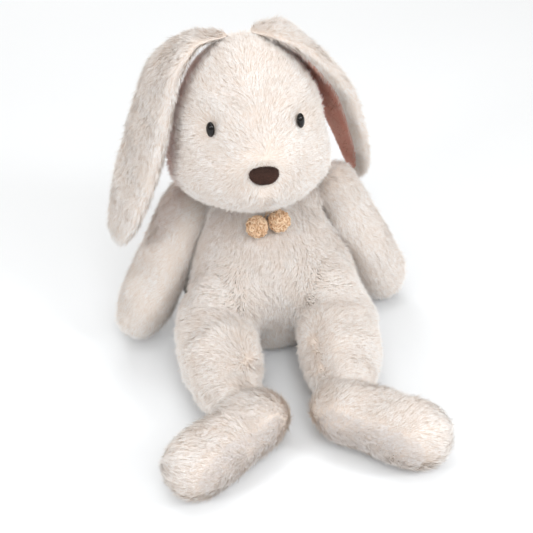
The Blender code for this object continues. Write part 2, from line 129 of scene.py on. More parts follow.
SKIN_GAP = 0.0006      # least distance of the skin above the hides
UNDER_COAT = (0.0030, 0.016)                # depths under the skin between which a hide has its own coat
NOSE_BARE, EYE_BARE = 0.0036, 0.0042        # radii without hair
MUZZLE_REACH = 0.010   # the radius round the nose in which hairs stand more upright


def interpolate(rows, at):
    """A smooth curve through (x, y) rows without overshoot, at these x."""
    rows = np.array(rows, float)
    x, y = rows[:, 0], rows[:, 1]
    slope = np.diff(y) / np.maximum(np.diff(x), 1e-9)
    tangent = np.zeros(len(x))
    both = slope[:-1] * slope[1:] > 0
    tangent[1:-1][both] = 2 * slope[:-1][both] * slope[1:][both] / (slope[:-1] + slope[1:])[both]
    tangent[0], tangent[-1] = slope[0], slope[-1]
    k = np.clip(np.searchsorted(x, at) - 1, 0, len(x) - 2)
    span = np.maximum(x[k + 1] - x[k], 1e-9)
    t = np.clip((at - x[k]) / span, 0, 1)
    return ((2 * t**3 - 3 * t**2 + 1) * y[k] + (t**3 - 2 * t**2 + t) * span * tangent[k]
            + (3 * t**2 - 2 * t**3) * y[k + 1] + (t**3 - t**2) * span * tangent[k + 1])


def on_profile(profile, share):
    """(distance, radius) at this share of the profile's length."""
    rows = np.array(profile, float)
    way = np.concatenate([[0], np.cumsum(np.linalg.norm(np.diff(rows, axis=0), axis=1))])
    way /= way[-1]
    return (interpolate(np.column_stack([way, rows[:, 0]]), share),
            interpolate(np.column_stack([way, rows[:, 1]]), share))


def unit(vectors):
    return vectors / np.maximum(np.linalg.norm(vectors, axis=-1, keepdims=True), 1e-12)


def mesh_object(name, points, faces):
    mesh = bpy.data.meshes.new(name)
    mesh.from_pydata([tuple(p) for p in points], [], [tuple(f) for f in faces])
    mesh.shade_smooth()
    mesh.update()
    obj = bpy.data.objects.new(name, mesh)
    bpy.context.scene.collection.objects.link(obj)
    return obj


def globe(around, up):
    """(unit points, faces) of a UV sphere. Blender gives its faces in an order that changes, so they are sorted."""
    bm = bmesh.new()
    bmesh.ops.create_uvsphere(bm, u_segments=around, v_segments=up, radius=1)
    points = np.array([v.co for v in bm.verts])
    faces = [[v.index for v in f.verts] for f in bm.faces]
    bm.free()
    starts = [face.index(min(face)) for face in faces]
    return unit(points), sorted(face[k:] + face[:k] for face, k in zip(faces, starts))


def split_globe(points):
    """Of unit points: their share of the way from the lower pole to the upper one, and their way out from the axis."""
    share = np.arccos(np.clip(-points[:, 2], -1, 1)) / math.pi
    flat = points[:, :2]
    size = np.linalg.norm(flat, axis=1, keepdims=True)
    return share, np.where(size > 1e-6, flat / np.maximum(size, 1e-9), 0)


def closed_form(name, shape, around=64, up=48, inset=0.0, lumps=0.0):
    """A closed mesh of shape(unit points), drawn in along its normals and made a little uneven."""
    points, faces = globe(around, up)
    obj = mesh_object(name, shape(points), faces)
    if inset or lumps:
        co = vertex_places(obj.data)
        moved(obj, lumps * wavy(co, 0.036, 5) - inset)
    return obj


def moved(obj, distances):
    """Moves each point of a mesh along its normal."""
    co = vertex_places(obj.data) + vertex_normals(obj.data) * distances[:, None]
    obj.data.vertices.foreach_set("co", co.astype(np.float32).ravel())
    obj.data.update()


def vertex_places(mesh):
    co = np.empty(len(mesh.vertices) * 3, np.float32)
    mesh.vertices.foreach_get("co", co)
    return co.reshape(-1, 3).astype(float)


def vertex_normals(mesh):
    normals = np.empty(len(mesh.vertices) * 3, np.float32)
    mesh.vertex_normals.foreach_get("vector", normals)
    return normals.reshape(-1, 3).astype(float)


def triangles(mesh):
    mesh.calc_loop_triangles()
    faces = np.empty(len(mesh.loop_triangles) * 3, np.int32)
    mesh.loop_triangles.foreach_get("vertices", faces)
    return faces.reshape(-1, 3)


def torso_form(points):
    share, side = split_globe(points)
    height, radius = on_profile(TORSO_PROFILE, share)
    neck = np.array(PLACES["neck"])
    lean = neck * np.minimum(1, height / neck[2])[:, None]
    depth = np.interp(height, *np.array(TORSO_DEPTH).T)
    return np.column_stack([lean[:, 0] + side[:, 0] * radius, lean[:, 1] + side[:, 1] * radius * depth, height])


def ball_form(middle, half):
    return lambda points: np.array(middle) + points * np.array(half)


def limb_form(start, end, profile, flat=1.0):
    turn = np.array((end - start).to_track_quat("Z", "Y").to_matrix())

    def shape(points):
        share, side = split_globe(points)
        along, radius = on_profile(profile, share)
        local = np.column_stack([side[:, 0] * radius, side[:, 1] * radius * flat, along])
        return np.array(start) + local @ turn.T

    return shape


def head_fullness(z):
    return 1 - 0.06 * z + CHEEKS * np.exp(-(((z + 0.70) / 0.42) ** 2))


def head_form(points):
    x, y, z = points.T
    full = head_fullness(z)
    bump = MUZZLE * np.exp(-((x / 0.50) ** 2) - ((z + 0.32) / 0.45) ** 2) * (y < 0) * np.minimum(1, -y * 4)
    crown = 0.0035 * np.clip((z - 0.55) / 0.45, 0, 1) ** 1.5
    local = np.column_stack([x * HEAD_HALF.x * full, y * HEAD_HALF.y * full - bump, z * HEAD_HALF.z + crown])
    return place(local, HEAD_MATRIX)


def place(points, matrix):
    m = np.array(matrix)
    return points @ m[:3, :3].T + m[:3, 3]


def face_point(across, height):
    """Where the face is, this far across and up from the head's middle."""
    z = height / HEAD_HALF.z
    x = across / (HEAD_HALF.x * head_fullness(z))
    point = np.array([[x, -math.sqrt(max(0, 1 - x * x - z * z)), z]])
    return Vector(head_form(point)[0])


def ear_path(side, share):
    """The Catmull-Rom curve through the ear's rows."""
    rows = np.array([[*spot, *facing, half, thick] for spot, facing, half, thick in EARS[side]])
    last = len(rows) - 1
    at = np.clip(share, 0, 1) * last
    k = np.minimum(at.astype(int), last - 1)
    t = (at - k)[:, None]
    a, b, c, d = (rows[np.clip(k + n, 0, last)] for n in (-1, 0, 1, 2))
    return 0.5 * (2 * b + (c - a) * t + (2 * a - 5 * b + 4 * c - d) * t**2 + (3 * b - a - 3 * c + d) * t**3)


def ear_axes(side, share):
    here = ear_path(side, share)
    along = unit(ear_path(side, share + 0.01)[:, :3] - ear_path(side, share - 0.01)[:, :3])
    facing = here[:, 3:6]
    facing = unit(facing - along * (facing * along).sum(1, keepdims=True))
    return here, along, facing, np.cross(facing, along)


def ear_form(side, trim):
    """A stuffed ear with thick, rounded rims, whose face is on the side of the head."""

    def shape(points):
        share, turn = split_globe(points)
        here, _, facing, across = ear_axes(side, share)
        end = np.sqrt(np.maximum(0, 1 - np.abs(2 * share - 1) ** 5))
        thick = np.maximum(here[:, 7] - trim, 0.001) * end
        depth = thick * 0.45 * (1.1 + np.sign(turn[:, 1]) * np.abs(turn[:, 1]) ** 0.75)
        out = np.maximum(here[:, 6] - trim, 0.002) * np.sign(turn[:, 0]) * np.abs(turn[:, 0]) ** 0.85 * end
        return here[:, :3] + across * out[:, None] + facing * depth[:, None]

    return shape


def lining_form(side, low, high, width, outer, face, shift):
    """A thin layer on an ear's face from low to high along it. Shift moves it across the ear, in half widths."""

    def shape(points):
        share, turn = split_globe(points)
        here, _, facing, across = ear_axes(side, low + (high - low) * share)
        end = np.sqrt(np.maximum(0, 1 - np.abs(2 * share - 1) ** 5))
        depth = np.where(turn[:, 1] > 0, outer, -face) * turn[:, 1] * end
        out = here[:, 6] * (turn[:, 0] * width * end + shift)
        return here[:, :3] + across * out[:, None] + facing * depth[:, None]

    return shape


def relaxed(values, mesh, rounds):
    """Values at a mesh's points, averaged with their neighbours' this many times."""
    edges = np.empty(len(mesh.edges) * 2, np.int32)
    mesh.edges.foreach_get("vertices", edges)
    a, b = edges.reshape(-1, 2).T
    count = np.bincount(np.concatenate([a, b]), minlength=len(values))[:, None]
    for _ in range(rounds):
        total = np.zeros_like(values)
        np.add.at(total, a, values[b])
        np.add.at(total, b, values[a])
        values = 0.5 * values + 0.5 * total / np.maximum(count, 1)
    return values


def wavy(points, size, seed):
    """A smooth random field, about -1 to 1, that changes over this size."""
    rng = np.random.default_rng(seed)
    field = np.zeros(len(points))
    for _ in range(7):
        way = rng.normal(size=3)
        way *= 2 * math.pi / size / np.linalg.norm(way) * rng.uniform(0.6, 1.5)
        field += np.sin(points @ way + rng.uniform(0, 2 * math.pi))
    return field / 3.2


def joined_skin(name, forms, voxel, smoothing):
    """One skin over several closed forms, relaxed so that the creases between them are soft folds."""
    points, faces = [], []
    for form in forms:
        start = sum(len(p) for p in points)
        points.append(vertex_places(form.data))
        faces += [[start + i for i in polygon.vertices] for polygon in form.data.polygons]
    skin = mesh_object(name, np.concatenate(points), faces)
    remesh = skin.modifiers.new("remesh", "REMESH")
    remesh.mode = "VOXEL"
    remesh.voxel_size = voxel
    smooth = skin.modifiers.new("smooth", "SMOOTH")
    smooth.iterations = smoothing
    smooth.factor = 0.5
    return applied(skin)


def applied(obj):
    """The object with its modifiers made into its mesh."""
    graph = bpy.context.evaluated_depsgraph_get()
    mesh = bpy.data.meshes.new_from_object(obj.evaluated_get(graph))
    obj.modifiers.clear()
    obj.data = mesh
    return obj


class Ground:
    """What a coat grows on: places, normals, the way it is combed and the length of hair, at each point of a mesh.
    The way and the length may also be one for all the points."""

    def __init__(self, obj, comb, length):
        mesh = obj.data
        self.places = vertex_places(mesh)
        self.normals = vertex_normals(mesh)
        self.faces = triangles(mesh)
        comb = np.array(comb)
        comb = comb - self.normals * (comb * self.normals).sum(1, keepdims=True)
        self.comb = unit(comb)
        self.length = np.broadcast_to(length, len(self.places)).astype(float)

    def area(self, faces):
        a, b, c = (self.places[faces[:, k]] for k in range(3))
        return np.linalg.norm(np.cross(b - a, c - a), axis=1) / 2


def scatter(ground, faces, count, rng):
    """Roots spread evenly over the faces: (place, normal, comb, length)."""
    area = ground.area(faces)
    picked = faces[rng.choice(len(faces), count, p=area / area.sum())]
    u, v = rng.random((2, count))
    flip = u + v > 1
    u[flip], v[flip] = 1 - u[flip], 1 - v[flip]
    share = np.column_stack([1 - u - v, u, v])

    def at(values):
        return sum(values[picked[:, k]] * (share[:, k] if values.ndim == 1 else share[:, k, None]) for k in range(3))

    return at(ground.places), unit(at(ground.normals)), unit(at(ground.comb)), at(ground.length)


def tuft_of(places, spacing, area, rng):
    """For each place, the index of the place at the middle of its tuft."""
    count = max(8, min(len(places), int(area / spacing**2)))
    middles = rng.choice(len(places), count, replace=False)
    tree = KDTree(count)
    for k, index in enumerate(middles):
        tree.insert(places[index], k)
    tree.balance()
    return middles[np.array([tree.find(p)[1] for p in places])]


def turned_about(vectors, axes, angles):
    """Vectors turned about unit axes that are square to them."""
    return vectors * np.cos(angles)[:, None] + np.cross(axes, vectors) * np.sin(angles)[:, None]


def grow(name, ground, faces, finish, density=1.0, width=HAIR_WIDTH, lean=(1.05, 1.40), gather=0.16, seed=0,
         spacing=CLUMP, swirl=0.4):
    """A coat of hairs over some faces of the ground, as pieces of no more than MOST_HAIRS. Each hair is a bent blade
    that tapers to its tip. Lean is how far it leans over at its root and its tip, in radians."""
    rng = np.random.default_rng(SEED + seed)
    area = ground.area(faces).sum()
    count = max(50, int(area * 1e6 * HAIRS_PER_MM2 * density))
    root, normal, comb, length = scatter(ground, faces, count, rng)
    tuft = tuft_of(root, spacing, area, rng)
    turn = swirl * wavy(root, 0.030, 1) + 0.10 * rng.normal(size=count)[tuft] + 0.20 * rng.normal(size=count)
    comb = turned_about(comb, normal, turn)
    lift = 0.05 * rng.normal(size=count)[tuft] + 0.10 * rng.normal(size=count)
    lift -= 0.45 * (rng.random(count) < STANDING)
    length = length * (1 + 0.12 * rng.normal(size=count)[tuft] + 0.12 * rng.normal(size=count)).clip(0.55, 1.5)
    ways = [normal * np.cos(a)[:, None] + comb * np.sin(a)[:, None] for a in (lean[0] + lift, lean[1] + lift)]
    base = root - normal * ROOT_DEPTH
    middle = base + ways[0] * (length * 0.45)[:, None]
    tip = middle + ways[1] * (length * 0.55)[:, None]
    middle += gather * 0.35 * (middle[tuft] - middle)
    tip += gather * (tip[tuft] - tip)
    side = unit(np.cross(ways[0], normal))
    up = unit(normal - ways[0] * (normal * ways[0]).sum(1, keepdims=True))
    twist = rng.uniform(-0.6, 0.6, count)
    side = side * np.cos(twist)[:, None] + up * np.sin(twist)[:, None]
    half = side * (width / 2 * rng.uniform(0.7, 1.3, count))[:, None]
    points = np.stack([base - half, base + half, middle + half * 0.8, middle - half * 0.8, tip], axis=1)
    points[:, :, 2] = np.maximum(points[:, :, 2], FLOOR_GAP)
    facing = unit(normal * 0.8 + up * 0.2)
    shade = wavy(root, 0.022, 2) + 0.5 * rng.normal(size=count)[tuft] + 0.6 * rng.normal(size=count)
    tint = 1 + np.digitize(shade, [-0.75, 0.65])
    made = []
    for k, rows in enumerate(np.array_split(rng.permutation(count), math.ceil(count / MOST_HAIRS))):
        made.append(blades(f"{name}_{k + 1}", points[rows], facing[rows], tint[rows], finish))
    return made


def blades(name, points, facing, tint, finish):
    """A mesh of five-point blades, each a quad and a triangle: the quad has the finish's first colour, a darker one
    that paints the shade deep in the pile.
    """
    count = len(points)
    mesh = bpy.data.meshes.new(name)
    mesh.vertices.add(count * 5)
    mesh.vertices.foreach_set("co", points.astype(np.float32).ravel())
    corners = np.array([0, 1, 2, 3, 3, 2, 4]) + np.arange(count)[:, None] * 5
    mesh.loops.add(count * 7)
    mesh.loops.foreach_set("vertex_index", corners.astype(np.int32).ravel())
    mesh.polygons.add(count * 2)
    mesh.polygons.foreach_set("loop_start", (np.arange(count)[:, None] * 7 + [0, 4]).astype(np.int32).ravel())
    mesh.polygons.foreach_set("material_index", np.column_stack([tint * 0, tint]).astype(np.int32).ravel())
    mesh.update(calc_edges=True)
    for colour in finish:
        mesh.materials.append(colour)
    mesh.shade_smooth()
    mesh.normals_split_custom_set_from_vertices(np.repeat(facing, 5, axis=0).astype(np.float32))
    obj = bpy.data.objects.new(name, mesh)
    bpy.context.scene.collection.objects.link(obj)
    return obj


def loops(name, middle, radius, count, ring, wire, seed):
    """A ball of small, randomly turned loops of yarn."""
    rng = np.random.default_rng(SEED + 200 + seed)
    u, v = np.meshgrid(np.arange(RING_STEPS) / RING_STEPS * 2 * math.pi,
                       np.arange(WIRE_STEPS) / WIRE_STEPS * 2 * math.pi, indexing="ij")
    u, v = u.ravel(), v.ravel()
    torus = np.column_stack([np.cos(u) * (ring + wire * np.cos(v)), np.sin(u) * (ring + wire * np.cos(v)),
                             wire * np.sin(v)])
    grid = np.arange(RING_STEPS * WIRE_STEPS).reshape(RING_STEPS, WIRE_STEPS)
    onward = np.roll(grid, -1, axis=0)
    quads = np.stack([grid, onward, np.roll(onward, -1, axis=1), np.roll(grid, -1, axis=1)], axis=-1).reshape(-1, 4)
    points, faces, tints = [], [], []
    for k in range(count):
        height = 1 - 2 * (k + 0.5) / count
        angle = k * GOLDEN_ANGLE
        flat = math.sqrt(1 - height * height)
        out = Vector((flat * math.cos(angle), flat * math.sin(angle), height))
        turn = (out + Vector(rng.normal(size=3)) * 0.9).to_track_quat("Z", "Y").to_matrix()
        size = rng.uniform(0.75, 1.2)
        spot = middle + out * (radius + rng.uniform(-0.0004, 0.0003))
        points.append(torus * size @ np.array(turn).T + np.array(spot))
        faces += (k * grid.size + quads).tolist()
        tints += [int(rng.integers(0, len(BOUCLE)))] * len(quads)
    obj = mesh_object(name, np.concatenate(points), faces)
    for colour in BOUCLE:
        obj.data.materials.append(colour)
    obj.data.polygons.foreach_set("material_index", tints)
    return obj


def plain(name, colour, roughness=0.6, **inputs):
    """A material of one colour. Its variety comes from the pieces that share it out among their hairs."""
    made = bpy.data.materials.new(name)
    made.use_nodes = True
    shader = made.node_tree.nodes["Principled BSDF"]
    shader.inputs["Base Color"].default_value = (*colour, 1)
    shader.inputs["Roughness"].default_value = roughness
    for key, value in inputs.items():
        shader.inputs[key.replace("_", " ")].default_value = value
    return made


def textured(name, dark, light, scale, bump, roughness=0.8, **inputs):
    """A material whose colour and relief follow one noise."""
    made = plain(name, light, roughness, **inputs)
    nodes, links = made.node_tree.nodes, made.node_tree.links
    shader = nodes["Principled BSDF"]
    where = nodes.new("ShaderNodeTexCoord")
    noise = nodes.new("ShaderNodeTexNoise")
    noise.inputs["Scale"].default_value = scale
    noise.inputs["Detail"].default_value = 6
    ramp = nodes.new("ShaderNodeValToRGB")
    ramp.color_ramp.elements[0].position = 0.35
    ramp.color_ramp.elements[0].color = (*dark, 1)
    ramp.color_ramp.elements[1].position = 0.65
    ramp.color_ramp.elements[1].color = (*light, 1)
    links.new(where.outputs["Object"], noise.inputs["Vector"])
    links.new(noise.outputs["Fac"], ramp.inputs["Fac"])
    links.new(ramp.outputs["Color"], shader.inputs["Base Color"])
    if bump:
        relief = nodes.new("ShaderNodeBump")
        relief.inputs["Distance"].default_value = bump
        links.new(noise.outputs["Fac"], relief.inputs["Height"])
        links.new(relief.outputs["Normal"], shader.inputs["Normal"])
    return made


def paint(obj, made, slot=None):
    obj.data.materials.clear()
    obj.data.materials.append(made)
    return obj


# The frame
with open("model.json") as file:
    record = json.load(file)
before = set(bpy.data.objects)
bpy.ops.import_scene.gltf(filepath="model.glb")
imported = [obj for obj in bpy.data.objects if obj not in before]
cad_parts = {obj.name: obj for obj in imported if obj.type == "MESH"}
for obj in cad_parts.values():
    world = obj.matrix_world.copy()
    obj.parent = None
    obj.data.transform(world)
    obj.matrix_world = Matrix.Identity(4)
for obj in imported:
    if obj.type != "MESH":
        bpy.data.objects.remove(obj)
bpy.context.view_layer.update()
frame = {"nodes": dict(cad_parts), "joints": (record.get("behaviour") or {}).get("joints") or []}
PLACES = {joint["child"]: Vector(joint["pos_m"]) for joint in frame["joints"]}
HEAD_MATRIX = Matrix.Translation(HEAD) @ Matrix.Rotation(HEAD_TURN, 4, "Z") @ Matrix.Rotation(HEAD_ROLL, 4, "Y")

# Finishes
# The first colour of each coat is darker and goes on the lower quad of every blade: it is painted shade, standing in
# for the shade deep in the pile round the roots.
COAT = [plain("coat_root", (0.872, 0.775, 0.695), 0.7), plain("coat_cream", (0.908, 0.846, 0.794), 0.6),
        plain("coat_white", (0.938, 0.896, 0.860), 0.6), plain("coat_bright", (0.960, 0.935, 0.912), 0.6)]
SOLE_COAT = [plain("sole_root_painted_shade", (0.85, 0.775, 0.72), 0.7), plain("sole_grey", (0.87, 0.815, 0.775), 0.6),
             plain("sole_white", (0.89, 0.85, 0.825), 0.6), plain("sole_bright", (0.91, 0.88, 0.865), 0.6)]
LINING_COAT = [plain("lining_root_painted_shade", (0.80, 0.34, 0.26), 0.8), plain("lining_deep", (0.83, 0.40, 0.32), 0.7),
               plain("lining_pink", (0.87, 0.47, 0.38), 0.7), plain("lining_pale", (0.90, 0.55, 0.46), 0.7)]
NOSE_COAT = [plain("flock_root_painted_shade", (0.030, 0.010, 0.006), 0.9), plain("flock_dark", (0.045, 0.016, 0.010), 0.9),
             plain("flock_brown", (0.075, 0.028, 0.017), 0.9), plain("flock_light", (0.115, 0.048, 0.030), 0.9)]
BOUCLE = [plain("boucle_deep", (0.66, 0.42, 0.25), 0.9), plain("boucle_tan", (0.78, 0.54, 0.35), 0.9),
          plain("boucle_pale", (0.88, 0.68, 0.48), 0.9)]
hide_finish = textured("fur_backing", (0.89, 0.79, 0.71), (0.93, 0.85, 0.78), 900, 0.0003, 0.9)
# The head's hide is a darker copy of the body's hide: painted shade, so that the head shows darker between its hairs.
face_finish_painted_shade = textured("face_backing_painted_shade", (0.78, 0.68, 0.60), (0.85, 0.76, 0.69), 900, 0.0003, 0.9)
lining_finish = textured("lining_cloth", (0.78, 0.34, 0.26), (0.86, 0.44, 0.36), 1500, 0.0002, 0.9)
stuffing_finish = textured("fibre_fill", (0.84, 0.84, 0.82), (0.95, 0.95, 0.93), 350, 0.001, 0.95)
pompom_finish = textured("pompom_core", (0.50, 0.30, 0.17), (0.68, 0.44, 0.27), 1200, 0.0002, 0.9)
thread_finish = textured("thread", (0.62, 0.42, 0.26), (0.80, 0.60, 0.42), 2500, 0.0001, 0.8)
eye_finish = textured("eye_black", (0.003, 0.0025, 0.0025), (0.006, 0.005, 0.005), 300, 0.0, 0.03, IOR=1.42)
nose_finish = textured("nose_flock", (0.020, 0.007, 0.004), (0.060, 0.024, 0.015), 1800, 0.0002, 0.9)
washer_finish = textured("washer_plastic", (0.80, 0.80, 0.78), (0.88, 0.88, 0.86), 600, 0.0, 0.45)

# Hides: closed, stuffed forms that stand in for the CAD model's skins and stuffing
hides, forms, coats = {}, {"torso": torso_form}, []
for side in SIDES:
    arm_profile = [(along * (ARM_REACH[side] if along > 0.01 else 1), radius) for along, radius in ARM_PROFILE]
    forms[f"arm_{side}"] = limb_form(PLACES[f"arm_{side}"], PAWS[side], arm_profile, ARM_FLAT)
    forms[f"leg_{side}"] = limb_form(PLACES[f"leg_{side}"], PLACES[f"foot_{side}"], LEG_PROFILE, LEG_FLAT)
    forms[f"foot_{side}"] = limb_form(HEELS[side], TOES[side], FOOT_PROFILE)
yokes, laps = {}, {}
for side in SIDES:
    end = PLACES[f"arm_{side}"]
    reach = (end - YOKE_START).length
    profile = [(-0.014, 0), (-0.008, 0.011), (0, 0.0145), (reach, 0.015), (reach + 0.009, 0.012), (reach + 0.015, 0)]
    yokes[f"yoke_{side}"] = limb_form(YOKE_START, end, profile)
    laps[f"lap_{side}"] = ball_form(Vector((SIGN[side] * LAP.x, LAP.y, LAP.z)), LAP_HALF)


def body_skin(name, chosen, inset, voxel, smoothing):
    """One skin over the chosen forms, drawn in by the inset."""
    parts = [closed_form(f"{body}_form", form, inset=inset, lumps=LUMPS) for body, form in chosen.items()]
    joined = joined_skin(name, parts, voxel, smoothing)
    for part in parts:
        bpy.data.objects.remove(part)
    return joined


def coat(body, slot, *what, **how):
    """Grows a coat that moves with one body."""
    coats.extend((obj, body, slot) for obj in grow(*what, **how))


for body, form in forms.items():
    inset = PILE + HIDE_DEPTH[body.split("_")[0]]
    if body == "torso":
        hides[body] = body_skin("torso_hide", {body: form} | yokes, inset, voxel=0.0028, smoothing=6)
    else:
        hides[body] = closed_form(f"{body}_hide", form, inset=inset, lumps=LUMPS)
armless = {body: form for body, form in forms.items() if not body.startswith("arm")}
fillings = {f"{filling}_{side}": made[f"{filling}_{side}"] for side in SIDES
            for filling, made in (("yoke", yokes), ("lap", laps))}
skin = body_skin("body_skin", armless | fillings, PILE, voxel=0.003, smoothing=10)

# The coat of the torso, legs and feet, grown in one stretch for each body
places = vertex_places(skin.data)
creased = np.zeros(len(places))
for side in SIDES:
    for joint, reach in CREASES.items():
        far = np.linalg.norm(places - np.array(PLACES[f"{joint}_{side}"]), axis=1)
        creased = np.maximum(creased, np.clip((reach - far) / CREASE_EDGE, 0, 1))
places += creased[:, None] * (relaxed(places, skin.data, CREASE_ROUNDS) - places)
graph = bpy.context.evaluated_depsgraph_get()
trees = {body: BVHTree.FromObject(hides[body], graph) for body in armless}
for place_now in places:
    for tree in trees.values():
        spot, normal, _, _ = tree.find_nearest(place_now, 0.02)
        if spot is not None and (Vector(place_now) - spot).dot(normal) < SKIN_GAP:
            place_now += np.array(normal) * (SKIN_GAP - (Vector(place_now) - spot).dot(normal))
skin.data.vertices.foreach_set("co", places.astype(np.float32).ravel())
skin.data.update()
names = list(trees)
owner = np.array([[trees[body].find_nearest(p)[3] for body in names] for p in places]).argmin(axis=1)
ways = {"torso": Vector((0, 0.15, -1))}
for side in SIDES:
    ways[f"arm_{side}"] = (PAWS[side] - PLACES[f"arm_{side}"]).normalized()
    ways[f"leg_{side}"] = (PLACES[f"foot_{side}"] - PLACES[f"leg_{side}"]).normalized()
    ways[f"foot_{side}"] = (TOES[side] - HEELS[side]).normalized()
# Combed away from the front, so that the hairs' upper sides show
brushed = ways | {f"leg_{side}": Vector((0.50 * SIGN[side], 0.15, -0.50)) for side in SIDES}
brushed |= {f"foot_{side}": ways[f"foot_{side}"] * 0.8 + Vector((0, 0.5, 0.2)) for side in SIDES}
comb = relaxed(np.array([brushed[body] for body in names])[owner], skin.data, 12)
length = np.full(len(places), HAIR)
on_sole = np.zeros(len(places), bool)
stretch = owner.copy()                 # which body's stretch of coat a point is in
bends = {}                             # of a stretch: its parent body, way, start, end and reach
for side in SIDES:
    leg, foot = names.index(f"leg_{side}"), names.index(f"foot_{side}")
    across = ways[f"leg_{side}"] * 0.8 + Vector((0.55 * SIGN[side], 0, -0.6))
    bends[leg] = ("torso", across.normalized(), *HIP_BEND)
    bends[foot] = (f"leg_{side}", ways[f"leg_{side}"], *ANKLE_BEND)
    for outer in (foot, leg):
        parent, way, before, _, near = bends[outer]
        off = places - np.array(PLACES[names[outer]])
        close = (np.linalg.norm(off, axis=1) < near) & (off @ np.array(way) > -before)
        own_side = places[:, 0] * SIGN[side] > 0
        stretch[close & own_side & (owner == names.index(parent))] = outer
    sole_way = Vector((0, -1, 0)) - ways[f"foot_{side}"] * -ways[f"foot_{side}"].y
    sole_way.normalize()
    past = (places - np.array((HEELS[side] + TOES[side]) / 2 + sole_way * SOLE_DEPTH)) @ np.array(sole_way)
    past = np.where(owner == foot, past, -1)
    on_sole |= past > 0
    length *= 1 - 0.35 * np.exp(-((past / 0.0022) ** 2)) - 0.2 * (past > 0)
    seam = -SEAM_DEPTH * np.exp(-((past / SEAM_WIDTH) ** 2))
    places += vertex_normals(skin.data) * seam[:, None]
skin.data.vertices.foreach_set("co", places.astype(np.float32).ravel())
skin.data.update()
ground = Ground(skin, comb, length)
stretch_of_face, sole_face = stretch[ground.faces[:, 0]], on_sole[ground.faces].all(axis=1)
for k, body in enumerate(names):
    chosen = stretch_of_face == k
    made = grow(f"{body}_coat", ground, ground.faces[chosen & ~sole_face], COAT, seed=k * 10)
    for obj in made:
        if body == "torso":
            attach(obj, body)
            continue
        parent, way, before, after, _ = bends[k]
        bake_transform(obj)
    if (chosen & sole_face).any():
        coat(body, "sole", f"{body}_sole_coat", ground, ground.faces[chosen & sole_face], SOLE_COAT, seed=k * 10 + 5)

# Under the folds of that coat, each hide has its own, which shows when a leg or a foot moves
over = BVHTree.FromObject(skin, graph)
skin_tree = KDTree(len(places))
for n, place_now in enumerate(places):
    skin_tree.insert(place_now, n)
skin_tree.balance()
for k, body in enumerate(names):
    ground = Ground(hides[body], ways[body], HAIR * 0.6)
    deep = np.zeros(len(ground.places))
    for n, spot in enumerate(ground.places):
        near, normal, _, far = over.find_nearest(spot)
        others = stretch[skin_tree.find(spot)[1]] != k
        if (near - Vector(spot)).dot(normal) > 0 and (far > UNDER_COAT[0] or others):
            deep[n] = far
    under = ((deep > 0) & (deep < UNDER_COAT[1]))[ground.faces].all(axis=1)
    if under.any():
        coat(body, "fur", f"{body}_under_coat", ground, ground.faces[under], COAT, density=0.6, width=0.00045,
             seed=60 + k)
bpy.data.objects.remove(skin)

# Arms
for side in SIDES:
    body = f"arm_{side}"
    combed = ways[body] + Vector((0.30 * SIGN[side], 0.25, 0))
    ground = Ground(hides[body], combed, HAIR)
    coat(body, "fur", f"{body}_coat", ground, ground.faces, COAT, seed=90 + SIGN[side])

# Head
hides["head"] = closed_form("head_hide", head_form, 112, 84, PILE + 0.0002, LUMPS * 0.6)
places = vertex_places(hides["head"].data)
inward = np.array(HEAD_MATRIX.inverted())
local = places @ inward[:3, :3].T + inward[:3, 3]
eye_places = {side: face_point(SIGN[side] * EYE_SPREAD, EYE_HEIGHT) for side in SIDES}
nose_place = face_point(0, NOSE_HEIGHT)
from_nose = np.linalg.norm((places - np.array(nose_place)) * (1 / 1.45, 0.6, 1), axis=1)
from_eye = np.min([np.linalg.norm(places - np.array(spot), axis=1) for spot in eye_places.values()], axis=0)
front = np.clip(-local[:, 1] / 0.02, 0, 1)
below = np.clip((NOSE_HEIGHT - 0.004 - local[:, 2]) / 0.004, 0, 1) * np.clip((local[:, 2] + 0.040) / 0.010, 0, 1)
groove = np.exp(-((local[:, 0] / 0.0030) ** 2)) * below * front
moved(hides["head"], -0.0016 * groove - 0.0020 * np.exp(-((from_eye / 0.008) ** 2)))
away = unit(places - np.array(nose_place) - np.array([0, 0.02, 0.0])) + np.array([0, 0.25, -0.25])
for spot in eye_places.values():
    out = places - np.array(spot)
    far = np.linalg.norm(out, axis=1, keepdims=True)
    away += 1.6 * out / np.maximum(far, 1e-4) * np.exp(-((far / 0.008) ** 2))
parting = np.sign(local[:, 0] + 1e-6) * np.exp(-((local[:, 0] / 0.006) ** 2)) * below * front
away += parting[:, None] * np.array(HEAD_MATRIX.to_3x3() @ Vector((1, 0, 0)))
by_nose = np.clip((from_nose - 0.004) / 0.016, 0, 1) * 0.5 + 0.5
by_eye = np.clip((from_eye - 0.003) / 0.009, 0, 1) * 0.5 + 0.5
ground = Ground(hides["head"], away, HAIR * 0.9 * (by_nose * by_eye) * (1 - 0.35 * groove))
bare = (from_nose < NOSE_BARE) | (from_eye < EYE_BARE)
kept = ~bare[ground.faces].any(axis=1)
coat("head", "fur", "head_coat", ground, ground.faces[kept], COAT, seed=100, spacing=FINE_CLUMP)
muzzle = (from_nose < MUZZLE_REACH)[ground.faces].all(axis=1)
coat("head", "fur", "muzzle_coat", ground, ground.faces[kept & muzzle], COAT, lean=(0.60, 1.10), seed=105,
     spacing=FINE_CLUMP)
nose_turn = HEAD_MATRIX.to_3x3()


def nose_form(points):
    x, y, z = points.T
    wide = NOSE_WIDE * np.sign(x) * np.abs(x) ** 0.80 * (1 - 0.16 * np.maximum(0, -z) ** 1.5)
    tall = np.where(z > 0, NOSE_ABOVE * np.abs(z) ** 0.6, -NOSE_BELOW * np.abs(z) ** 0.9)
    return np.column_stack([wide, y * NOSE_DEEP, tall]) @ np.array(nose_turn).T + np.array(nose_place)


